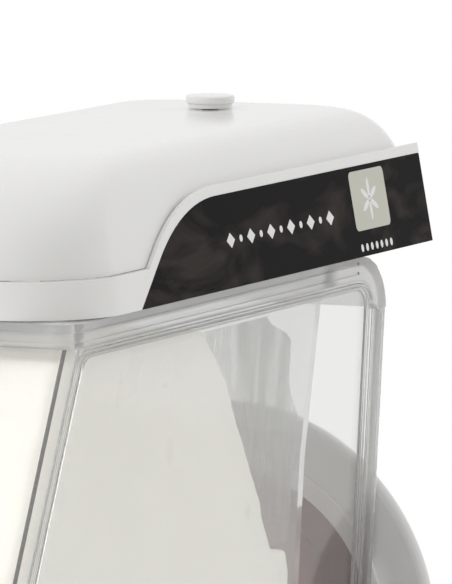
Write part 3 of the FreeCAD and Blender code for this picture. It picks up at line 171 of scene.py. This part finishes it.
def finish(name, colour, rough, rough_change, scale, bump=0.05, bump_scale=None, metallic=0.0, change=0.03,
           coat=0.0, stretch=(1, 1, 1), distance=0.0002, subsurface=0.0, specular=0.5, painted_glow=0.0):
    """Principled material whose colour, roughness and bump come from noise in object space; painted_glow adds
    an even emission, which is painted light.
    """
    made = bpy.data.materials.new(name)
    made.use_nodes = True
    nt = made.node_tree
    bsdf = nt.nodes["Principled BSDF"]
    broad = noise_node(nt, scale, stretch=stretch)
    link(nt, tint(nt, broad.outputs["Fac"], colour, change), bsdf.inputs["Base Color"])
    link(nt, spread(nt, broad.outputs["Fac"], max(0.02, rough - rough_change), rough + rough_change),
         bsdf.inputs["Roughness"])
    bsdf.inputs["Metallic"].default_value = metallic
    bsdf.inputs["Coat Weight"].default_value = coat
    bsdf.inputs["Coat Roughness"].default_value = 0.06
    bsdf.inputs["Specular IOR Level"].default_value = specular
    # painted light: an even emission in the material's own colour makes the surface glow though it is no lamp
    if painted_glow:
        bsdf.inputs["Emission Color"].default_value = colour + (1,)
        bsdf.inputs["Emission Strength"].default_value = painted_glow
    if subsurface:
        bsdf.inputs["Subsurface Weight"].default_value = subsurface
        bsdf.inputs["Subsurface Radius"].default_value = (1.0, 0.8, 0.6)
        bsdf.inputs["Subsurface Scale"].default_value = 0.004
    if bump:
        fine = noise_node(nt, bump_scale or scale * 8, detail=2.0, stretch=stretch)
        bump_node = nt.nodes.new("ShaderNodeBump")
        bump_node.inputs["Strength"].default_value = bump
        bump_node.inputs["Distance"].default_value = distance
        link(nt, fine.outputs["Fac"], bump_node.inputs["Height"])
        link(nt, bump_node.outputs["Normal"], bsdf.inputs["Normal"])
    return made


def clear_plastic(name, colour, rough, ior=1.33, flow=0.1, haze=0.06):
    """Moulded clear plastic: a little wavy and hazy, and lamps pass through it."""
    made = bpy.data.materials.new(name)
    made.use_nodes = True
    nt = made.node_tree
    bsdf = nt.nodes["Principled BSDF"]
    out = nt.nodes["Material Output"]
    bsdf.inputs["Base Color"].default_value = colour + (1,)
    bsdf.inputs["Transmission Weight"].default_value = 1.0 - haze
    bsdf.inputs["IOR"].default_value = ior
    broad = noise_node(nt, 18.0, detail=2.0)
    link(nt, spread(nt, broad.outputs["Fac"], rough * 0.5, rough * 1.5), bsdf.inputs["Roughness"])
    wave = noise_node(nt, 14.0, detail=1.0)
    bump_node = nt.nodes.new("ShaderNodeBump")
    bump_node.inputs["Strength"].default_value = flow
    bump_node.inputs["Distance"].default_value = 0.0006
    link(nt, wave.outputs["Fac"], bump_node.inputs["Height"])
    link(nt, bump_node.outputs["Normal"], bsdf.inputs["Normal"])
    path = nt.nodes.new("ShaderNodeLightPath")
    clear = nt.nodes.new("ShaderNodeBsdfTransparent")
    clear.inputs["Color"].default_value = (0.98, 0.98, 0.98, 1)
    mix = nt.nodes.new("ShaderNodeMixShader")
    link(nt, path.outputs["Is Shadow Ray"], mix.inputs["Fac"])
    link(nt, bsdf.outputs["BSDF"], mix.inputs[1])
    link(nt, clear.outputs["BSDF"], mix.inputs[2])
    link(nt, mix.outputs["Shader"], out.inputs["Surface"])
    return made


def swirl_black(name):
    """Printed black film with faint warm swirls under a dull gloss."""
    made = bpy.data.materials.new(name)
    made.use_nodes = True
    nt = made.node_tree
    bsdf = nt.nodes["Principled BSDF"]
    swirl = noise_node(nt, 16.0, detail=4.0, distortion=2.6, stretch=(1.0, 0.55, 1.6))
    ramp = nt.nodes.new("ShaderNodeValToRGB")
    ramp.color_ramp.elements[0].position, ramp.color_ramp.elements[0].color = 0.46, (0.006, 0.005, 0.005, 1)
    ramp.color_ramp.elements[1].position, ramp.color_ramp.elements[1].color = 0.74, (0.046, 0.038, 0.034, 1)
    link(nt, swirl.outputs["Fac"], ramp.inputs["Fac"])
    link(nt, ramp.outputs["Color"], bsdf.inputs["Base Color"])
    link(nt, spread(nt, swirl.outputs["Fac"], 0.22, 0.34), bsdf.inputs["Roughness"])
    bsdf.inputs["Specular IOR Level"].default_value = 0.02
    return made


def film(name):
    """Thin streaks of cream left on the tank's wall, warmer towards the bottom."""
    made = bpy.data.materials.new(name)
    made.use_nodes = True
    nt = made.node_tree
    bsdf = nt.nodes["Principled BSDF"]
    streak = noise_node(nt, 30.0, detail=4.0, distortion=0.6, stretch=(1.0, 1.9, 0.42))
    cover = nt.nodes.new("ShaderNodeMapRange")
    cover.inputs["From Min"].default_value, cover.inputs["From Max"].default_value = 0.38, 0.66
    cover.inputs["To Min"].default_value, cover.inputs["To Max"].default_value = 0.35, 0.92
    link(nt, streak.outputs["Fac"], cover.inputs["Value"])
    link(nt, cover.outputs["Result"], bsdf.inputs["Alpha"])
    coords = nt.nodes.new("ShaderNodeTexCoord")
    split = nt.nodes.new("ShaderNodeSeparateXYZ")
    link(nt, coords.outputs["Object"], split.inputs["Vector"])
    height = nt.nodes.new("ShaderNodeMapRange")
    height.inputs["From Min"].default_value, height.inputs["From Max"].default_value = 0.475, 0.545
    link(nt, split.outputs["Z"], height.inputs["Value"])
    ramp = nt.nodes.new("ShaderNodeValToRGB")
    ramp.color_ramp.elements[0].position, ramp.color_ramp.elements[0].color = 0.0, (0.34, 0.17, 0.13, 1)
    ramp.color_ramp.elements[1].position, ramp.color_ramp.elements[1].color = 0.8, (0.50, 0.49, 0.45, 1)
    link(nt, height.outputs["Result"], ramp.inputs["Fac"])
    link(nt, ramp.outputs["Color"], bsdf.inputs["Base Color"])
    link(nt, spread(nt, streak.outputs["Fac"], 0.25, 0.5), bsdf.inputs["Roughness"])
    return made


def make_materials():
    fine = 260.0
    return {
        "white_gloss": finish("white_gloss", (0.86, 0.855, 0.84), 0.16, 0.03, 9.0, 0.02, 700.0,
                              coat=0.35, change=0.01, subsurface=0.08),
        "white_satin": finish("white_satin", (0.80, 0.80, 0.79), 0.34, 0.05, 14.0, 0.12, 1400.0, change=0.015),
        "clear": clear_plastic("clear", (0.975, 0.975, 0.97), 0.03),
        "clear_rim": clear_plastic("clear_rim", (0.94, 0.94, 0.93), 0.08, ior=1.4, haze=0.30),
        "bead_clear": clear_plastic("bead_clear", (0.90, 0.90, 0.89), 0.06, ior=1.42, haze=0.12),
        "black_gloss": finish("black_gloss", (0.012, 0.011, 0.011), 0.09, 0.03, 20.0, 0.01, 500.0, coat=0.1,
                              specular=0.3),
        "plate_black": swirl_black("plate_black"),
        "clear_tank": clear_plastic("clear_tank", (0.90, 0.90, 0.89), 0.05, flow=0.2, haze=0.04),
        "film": film("film"),
        "print_white": finish("print_white", (0.86, 0.86, 0.85), 0.5, 0.05, 60.0, 0.05, 900.0, change=0.02),
        "print_sage": finish("print_sage", (0.60, 0.60, 0.52), 0.45, 0.05, 60.0, 0.05, 900.0, change=0.03),
        "dark_plastic": finish("dark_plastic", (0.030, 0.031, 0.033), 0.42, 0.06, 30.0, 0.25, 1800.0),
        "grey_plastic": finish("grey_plastic", (0.30, 0.31, 0.32), 0.36, 0.05, 24.0, 0.15, 1500.0),
        "painted": finish("painted", (0.78, 0.78, 0.77), 0.38, 0.06, 12.0, 0.2, 1300.0, change=0.02),
        "steel": finish("steel", (0.62, 0.62, 0.63), 0.26, 0.08, fine, 0.06, 900.0, metallic=1.0,
                        stretch=(1, 0.04, 1)),
        "zinc": finish("zinc", (0.50, 0.51, 0.52), 0.42, 0.10, 60.0, 0.1, 700.0, metallic=1.0, change=0.12),
        "aluminium": finish("aluminium", (0.72, 0.73, 0.74), 0.34, 0.06, 80.0, 0.1, 900.0, metallic=1.0),
        "copper": finish("copper", (0.72, 0.36, 0.22), 0.28, 0.08, 50.0, 0.05, 600.0, metallic=1.0,
                         change=0.12),
        "black_metal": finish("black_metal", (0.02, 0.02, 0.022), 0.28, 0.06, 40.0, 0.2, 500.0, coat=0.2),
        "rubber": finish("rubber", (0.022, 0.022, 0.022), 0.72, 0.08, 60.0, 0.3, 2200.0),
        "red_rubber": finish("red_rubber", (0.16, 0.018, 0.012), 0.38, 0.08, 40.0, 0.15, 900.0, change=0.15),
        # painted light: the cream's emission brightens the heap's shaded sides; the cream is no lamp
        "cream": finish("cream", (0.93, 0.905, 0.835), 0.34, 0.10, 22.0, 0.25, 60.0, subsurface=0.5, coat=0.15,
                        distance=0.002, painted_glow=0.34),
        "board": finish("board", (0.02, 0.16, 0.06), 0.35, 0.05, 60.0, 0.2, 900.0, change=0.15),
        "drive_white": finish("drive_white", (0.82, 0.80, 0.74), 0.40, 0.05, 30.0, 0.1, 900.0, subsurface=0.1),
    }


NODE_MATERIAL = {"graphic_plate_right": "plate_black", "graphic_plate_left": "plate_black",
                 "inner_tank": "clear_tank", "bowl_rim": "clear_rim"}
SHARP_DEG = 32.0
BEVELLED = {"front_cover": 0.8, "top_deck": 0.5, "lid_skirt": 0.45, "drip_tray": 0.7, "tap_body": 0.7,
            "tap_handle": 0.4, "drip_grille": 0.3, "bowl_rim": 0.45, "bowl_jacket": 0.35,
            "evaporator_collar": 0.6, "star_nozzle": 0.3,
            "control_bezel": 0.3, "auger": 0.5, "lid_liner": 0.4, "housing_cover": 0.4, "power_inlet": 0.3,
            "rear_panel": 0.3, "left_panel": 0.3, "right_panel": 0.3, "tray_bracket": 0.3, "output_gear": 0.2}


def dress_nodes(materials):
    """Gives each carried-over CAD node its slot's material, rounded normals and small edge breaks."""
    slot_of = {s["node"]: s["material_slot"] for s in frame["record"]["subparts"]}
    for name, node in NODES.items():
        node.data.materials.clear()
        node.data.materials.append(materials[NODE_MATERIAL.get(name, slot_of[name])])
        node.data.shade_smooth()
        node.data.set_sharp_from_angle(angle=math.radians(SHARP_DEG))
        if name in BEVELLED:
            weld = node.modifiers.new("weld", "WELD")
            weld.merge_threshold = 0.00001
            bevel = node.modifiers.new("edge", "BEVEL")
            bevel.width = BEVELLED[name] * MM
            bevel.segments = 2
            bevel.limit_method = "ANGLE"
            bevel.angle_limit = math.radians(40)
            bevel.use_clamp_overlap = True
        normals = node.modifiers.new("normals", "WEIGHTED_NORMAL")
        normals.mode = "FACE_AREA"
        normals.weight = 90
        normals.keep_sharp = name not in BEVELLED


# ---- pieces -------------------------------------------------------------------------------------
def new_object(name, mesh, material, body, smooth=True):
    piece = bpy.data.objects.new(name, mesh)
    bpy.context.scene.collection.objects.link(piece)
    piece.data.materials.append(MATERIALS[material])
    if smooth:
        mesh.shade_smooth()
        mesh.set_sharp_from_angle(angle=math.radians(SHARP_DEG))
    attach(piece, body)
    return piece


def mesh_of(name, verts, faces):
    mesh = bpy.data.meshes.new(name)
    mesh.from_pydata([tuple(v) for v in verts], [], faces)
    mesh.validate()
    mesh.update()
    return mesh


def baked(obj):
    """Mesh of an object with its modifiers applied."""
    bpy.context.view_layer.update()
    graph = bpy.context.evaluated_depsgraph_get()
    return bpy.data.meshes.new_from_object(obj.evaluated_get(graph))


def frozen_product():
    """The heap of frozen cream: soft crest, near-flat sides against the tank and a smeared back slope."""
    source = NODES["frozen_product"]
    work = bpy.data.objects.new("work", source.data.copy())
    bpy.context.scene.collection.objects.link(work)
    work.matrix_world = source.matrix_world.copy()
    remesh = work.modifiers.new("voxels", "REMESH")
    remesh.mode = "VOXEL"
    remesh.voxel_size = 0.003
    smooth = work.modifiers.new("soften", "SMOOTH")
    smooth.factor, smooth.iterations = 0.5, 10
    mesh = baked(work)
    mesh.transform(work.matrix_world)
    bpy.data.objects.remove(work)
    low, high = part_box("frozen_product")
    mesh.update()
    moves = []
    for vert in mesh.vertices:
        p, n = vert.co, vert.normal
        back = max(0.0, n.y) * (1.0 if p.z > 0.47 else 0.0)
        side = abs(n.x)
        streak = noise.noise(Vector((p.x * 60, p.y * 14, p.z * 14)))
        lump = noise.noise(Vector((p.x * 24, p.y * 24, p.z * 24)) + Vector((3, 7, 1)))
        depth = back * (0.0022 + 0.0022 * streak + 0.0020 * lump)
        depth += side * (0.0004 + 0.0004 * lump)
        moves.append(-n * max(0.0, depth))
    for vert, move in zip(mesh.vertices, moves):
        p = vert.co + move
        vert.co = Vector([min(max(p[k], low[k]), high[k]) for k in range(3)])
    mesh.update()
    piece = new_object("frozen_cream", mesh, "cream", "bowl", smooth=False)
    mesh.shade_smooth()
    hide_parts("frozen_product")


def tank_side_x(z):
    """Inside half width of the tank at a height."""
    low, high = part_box("bowl_jacket")
    return high.x - 0.0105 - (0.606 - z) * math.tan(math.radians(3.0))


def ease(value, start, end):
    """0 at start, 1 at end, smooth between."""
    t = min(1.0, max(0.0, (value - start) / (end - start)))
    return t * t * (3 - 2 * t)


FILM_FOOT_Z, FILM_TOP_Z = 0.484, 0.597      # the film's lower and upper edge
FILM_OFF_WALL = 0.0012                      # its distance inside the tank's wall
SLOPE_FOOT_Y, SLOPE_FOOT_Z = 0.094, 0.480   # back of the heap at its foot
SLOPE_RUN, SLOPE_RISE = 0.093, 0.118
TANK_REAR_Y, TANK_LEAN_END_Z = 0.113, 0.524
TANK_LEAN = math.radians(8.0)
FILM_ROWS, FILM_COLS = 44, 26


def cream_film():
    """Smeared film on the tank's side walls behind the heap, with a wavy rear edge."""
    for side, tag in ((1, "right"), (-1, "left")):
        verts, faces = [], []
        rows, cols = FILM_ROWS, FILM_COLS
        for i in range(rows + 1):
            z = FILM_FOOT_Z + (FILM_TOP_Z - FILM_FOOT_Z) * i / rows
            slope_y = SLOPE_FOOT_Y - (z - SLOPE_FOOT_Z) * SLOPE_RUN / SLOPE_RISE
            tank_end = TANK_REAR_Y + max(0.0, z - TANK_LEAN_END_Z) * math.tan(TANK_LEAN)
            end_y = 0.1040 + 0.022 * ease(z, 0.565, 0.528) - 0.030 * ease(z, 0.582, 0.597)
            end_y = min(tank_end, end_y + 0.0008 * math.sin(z * 900))
            for j in range(cols + 1):
                y = slope_y + (end_y - slope_y) * j / cols
                verts.append(Vector((side * (tank_side_x(z) - FILM_OFF_WALL), y, z)))
        for i in range(rows):
            for j in range(cols):
                a = i * (cols + 1) + j
                faces.append((a, a + 1, a + cols + 2, a + cols + 1))
        if side < 0:
            faces = [face[::-1] for face in faces]
        new_object("cream_film_" + tag, mesh_of("cream_film_" + tag, verts, faces), "film", "bowl")


def tube(name, points, radius, material, body, cyclic=False):
    """Round bead along a smooth line."""
    curve = bpy.data.curves.new(name, "CURVE")
    curve.dimensions = "3D"
    curve.bevel_depth = radius
    curve.bevel_resolution = 3
    curve.use_fill_caps = True
    spline = curve.splines.new("POLY")
    spline.points.add(len(points) - 1)
    for point, place in zip(spline.points, points):
        point.co = (place.x, place.y, place.z, 1)
    spline.use_cyclic_u = cyclic
    work = bpy.data.objects.new(name + "_line", curve)
    bpy.context.scene.collection.objects.link(work)
    mesh = baked(work)
    bpy.data.objects.remove(work)
    return new_object(name, mesh, material, body)


JACKET_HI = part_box("bowl_jacket")[1]
RIM_LO, RIM_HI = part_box("bowl_rim")
RAKE, DRAFT = math.radians(22.0), math.radians(3.0)
BAND_Z, RAKE_END_Z = 0.606, 0.440
CORNER_Y, CORNER_Z = 0.160, 0.590


def jacket_x(z):
    return JACKET_HI.x - (BAND_Z - z) * math.tan(DRAFT)


def jacket_front_y(z):
    return RIM_LO.y + 0.002 - (BAND_Z - max(z, RAKE_END_Z)) * math.tan(RAKE)


WALL_FOOT_Z = 0.380            # height of the beads' lower run
WINDOW_BEADS = (               # distance in from the front, top and rear edges, and the bead's radius
    (0.0145, 0.0042, 0.0188, 0.0011),
    (0.0085, 0.0022, 0.0110, 0.0009),
    (0.0120, 0.0032, 0.0150, 0.0006),
)


def window_beads():
    """Three closed beads moulded round the frame of each side window."""
    for side, tag in ((1, "right"), (-1, "left")):
        for k, (front, top, rear, radius) in enumerate(WINDOW_BEADS):
            points = []
            high = BAND_Z - top
            for z in (WALL_FOOT_Z, RAKE_END_Z):
                points.append(Vector((0, jacket_front_y(z) + front, z)))
            corner = 0.007
            start = Vector((0, jacket_front_y(high - corner) + front, high - corner))
            end = Vector((0, jacket_front_y(high) + front + corner * 1.2, high))
            middle = Vector((0, jacket_front_y(high) + front, high))
            for i in range(7):
                t = i / 6
                points.append(start * (1 - t) ** 2 + middle * 2 * t * (1 - t) + end * t * t)
            a, b = JACKET_HI.y - CORNER_Y - rear, high - CORNER_Z
            for i in range(13):
                t = math.radians(90 - 7.5 * i)
                points.append(Vector((0, CORNER_Y + a * math.cos(t), CORNER_Z + b * math.sin(t))))
            points.append(Vector((0, JACKET_HI.y - rear, WALL_FOOT_Z)))
            for p in points:
                p.x = side * (jacket_x(p.z) - radius * 0.35)
            tube("window_bead_%s_%d" % (tag, k), points, radius, "bead_clear", "bowl", cyclic=True)


RAIL_TOP_Z, RAIL_FOOT_Z = CORNER_Z + 0.0015, 0.372
RAIL_PROUD, RAIL_INSET, RAIL_EDGE = 0.0022, 0.0040, 0.0009
RAIL_TAPER, RAIL_ROWS = 0.060, 28


def rear_rails():
    """Moulded rail down each rear corner of the jacket, carrying on from the end of the rim."""
    for side, tag in ((1, "right"), (-1, "left")):
        verts, faces = [], []
        rows, cut = RAIL_ROWS, RAIL_EDGE
        for i in range(rows + 1):
            z = RAIL_FOOT_Z + (RAIL_TOP_Z - RAIL_FOOT_Z) * i / rows
            thin = 0.35 + 0.65 * ease(z, RAIL_FOOT_Z, RAIL_FOOT_Z + RAIL_TAPER)
            inner, outer = jacket_x(z) - RAIL_INSET, jacket_x(z) + RAIL_PROUD * thin
            front, rear = JACKET_HI.y - RAIL_INSET, JACKET_HI.y + (RIM_HI.y - JACKET_HI.y) * thin
            ring = ((inner, rear), (outer - cut, rear), (outer, rear - cut), (outer, front + cut),
                    (outer - cut, front), (inner, front))
            verts += [Vector((side * x, y, z)) for x, y in ring]
        for i in range(rows):
            for k in range(6):
                a, b = i * 6 + k, i * 6 + (k + 1) % 6
                faces.append((a, b, b + 6, a + 6))
        faces.append(tuple(range(5, -1, -1)))
        faces.append(tuple(range(rows * 6, rows * 6 + 6)))
        if side > 0:
            faces = [face[::-1] for face in faces]
        mesh = mesh_of("rear_rail_" + tag, verts, faces)
        mesh.set_sharp_from_angle(angle=math.radians(SHARP_DEG))
        new_object("rear_rail_" + tag, mesh, "clear_rim", "bowl")


PLATE_LEAN = math.radians(10.2)


def plate_point(u, v, out, side):
    """Point of a graphic plate: u back along it, v up its slope and out from its face, in mm."""
    foot = SKIRT_HI.x / MM
    x = foot - v * math.sin(PLATE_LEAN) + out * math.cos(PLATE_LEAN)
    z = SKIRT_FOOT_Z / MM + v * math.cos(PLATE_LEAN) + out * math.sin(PLATE_LEAN)
    return Vector((side * x * MM, u * MM, z * MM))


def plate_mark(name, outlines, material, top, side):
    """Thin printed shapes on a graphic plate, from closed outlines in plate coordinates."""
    verts, faces = [], []
    for outline in outlines:
        n, first = len(outline), len(verts)
        for out in (-0.3, top):
            verts += [plate_point(u, v, out, side) for u, v in outline]
        faces.append(tuple(range(first + n, first + 2 * n)))
        faces.append(tuple(range(first + n - 1, first - 1, -1)))
        for k in range(n):
            m = (k + 1) % n
            faces.append((first + k, first + m, first + n + m, first + n + k))
    mesh = mesh_of(name, verts, faces)
    made = bmesh.new()
    made.from_mesh(mesh)
    bmesh.ops.recalc_face_normals(made, faces=made.faces)
    made.to_mesh(mesh)
    made.free()
    return new_object(name, mesh, material, "lid", smooth=False)


def disc(u, v, ru, rv, turn=0.0, n=20):
    points = []
    for k in range(n):
        a = 2 * math.pi * k / n
        du, dv = ru * math.cos(a), rv * math.sin(a)
        points.append((u + du * math.cos(turn) - dv * math.sin(turn),
                       v + du * math.sin(turn) + dv * math.cos(turn)))
    return points


def badge_outline(u0, u1, v0, v1, r):
    points = []
    for cu, cv, a0 in ((u1 - r, v1 - r, 0), (u0 + r, v1 - r, 90), (u0 + r, v0 + r, 180), (u1 - r, v0 + r, 270)):
        for k in range(7):
            a = math.radians(a0 + 15 * k)
            points.append((cu + r * math.cos(a), cv + r * math.sin(a)))
    return points


def plate_ornaments():
    """Plain marks on each plate: a chain of lozenges and dots, and a badge with a six-armed star."""
    for side, tag in ((1, "right"), (-1, "left")):
        chain = []
        for k in range(11):
            u = 9.0 + k * 11.6
            if k % 2 == 0:
                chain.append([(u - 4.6, 22.0), (u, 18.4), (u + 4.6, 22.0), (u, 25.6)])
            else:
                chain.append(disc(u, 22.0, 1.7, 1.7))
        plate_mark("plate_chain_" + tag, chain, "print_white", 0.10, side)
        plate_mark("plate_badge_" + tag, [badge_outline(154.0, 196.0, 12.5, 41.5, 3.0)], "print_sage",
                   0.10, side)
        star = []
        for k in range(6):
            a = math.radians(30 + 60 * k)
            star.append(disc(175.0 + 5.6 * math.cos(a), 27.0 + 5.6 * math.sin(a), 4.9, 1.5, a))
        star.append(disc(175.0, 27.0, 1.6, 1.6))
        plate_mark("plate_star_" + tag, star, "print_white", 0.18, side)
        dots = [disc(157.5 + k * 5.9, 4.2, 1.5, 1.9) for k in range(7)]
        plate_mark("plate_dots_" + tag, dots, "print_white", 0.10, side)


MATERIALS = None


def main():
    global MATERIALS
    make_camera()
    make_world()
    MATERIALS = make_materials()
    make_floor()
    area_light("key", (-1.5, -1.6, 2.3), (0, -0.1, 0.6), 1.4, 1.2, 13.0)
    area_light("rim", (1.4, 1.6, 2.0), (0, 0.1, 0.6), 1.0, 1.0, 8.0)
    dress_nodes(MATERIALS)
    frozen_product()
    cream_film()
    window_beads()
    rear_rails()
    plate_ornaments()
    bpy.context.scene.view_settings.view_transform = "Standard"


main()
